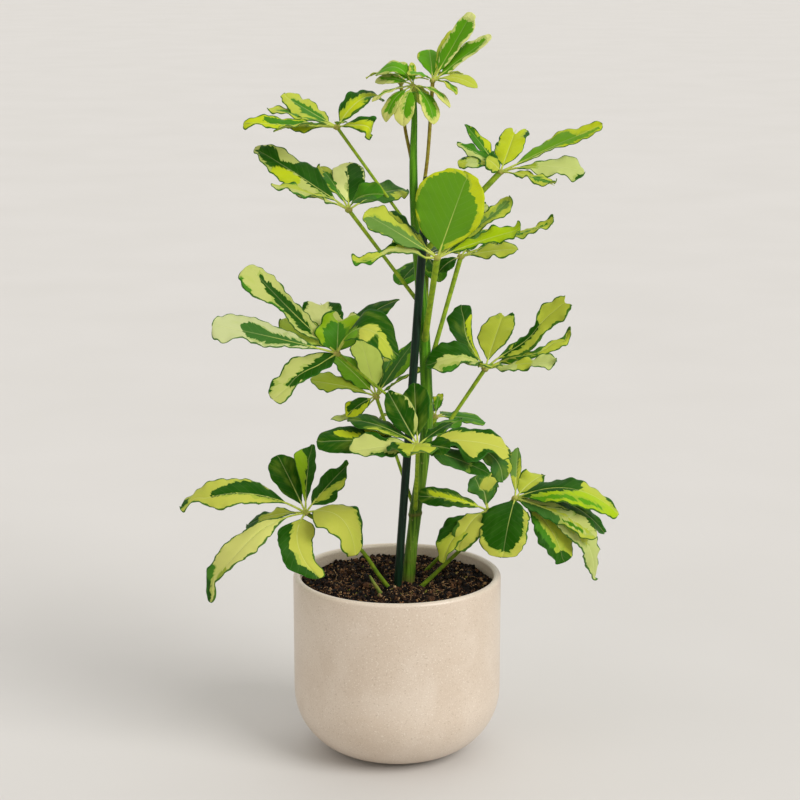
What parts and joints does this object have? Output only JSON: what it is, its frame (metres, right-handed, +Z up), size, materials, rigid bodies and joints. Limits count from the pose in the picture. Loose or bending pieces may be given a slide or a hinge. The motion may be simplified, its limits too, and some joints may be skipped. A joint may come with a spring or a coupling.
{
  "type": "potted umbrella plant",
  "caption": "Variegated dwarf umbrella tree on one short trunk, tied up by a slim cane, in a round cream glazed pot of soil.",
  "frame": {"origin": "centre of the pot's flat underside, on the surface that the pot stands on", "axes": "+Z up along the pot's axis, -Y towards the side that the picture shows, +X to that view's right"},
  "size_m": [0.291, 0.1827, 0.4962],
  "materials": {
    "glaze": "satin cream glaze with faint specks, glossier on the lip",
    "soil": "matt loose crumbs",
    "cane": "dark green coating, slight gloss",
    "bark": "smooth green bark with paler streaks",
    "dry_stalk": "dry matt",
    "leaf": "waxy, mid green to dark green with lime and cream patches"
  },
  "bodies": {
    "root": {"pot": "glaze", "soil": "soil", "cane": "cane", "trunk": "bark", "dry_stalk": "dry_stalk", "leaf_crown": "leaf", "leaf_crown_right": "leaf", "leaf_crown_left": "leaf", "leaf_high_left": "leaf", "leaf_left": "leaf", "leaf_high_right": "leaf", "leaf_front": "leaf", "leaf_right_back": "leaf", "leaf_back_high": "leaf", "leaf_mid_left": "leaf", "leaf_mid_left_back": "leaf", "leaf_mid_right": "leaf", "leaf_low_front": "leaf", "leaf_back_low": "leaf", "leaf_base_left": "leaf", "leaf_base_right": "leaf", "leaf_base_right_back": "leaf"}
  },
  "joints": []
}
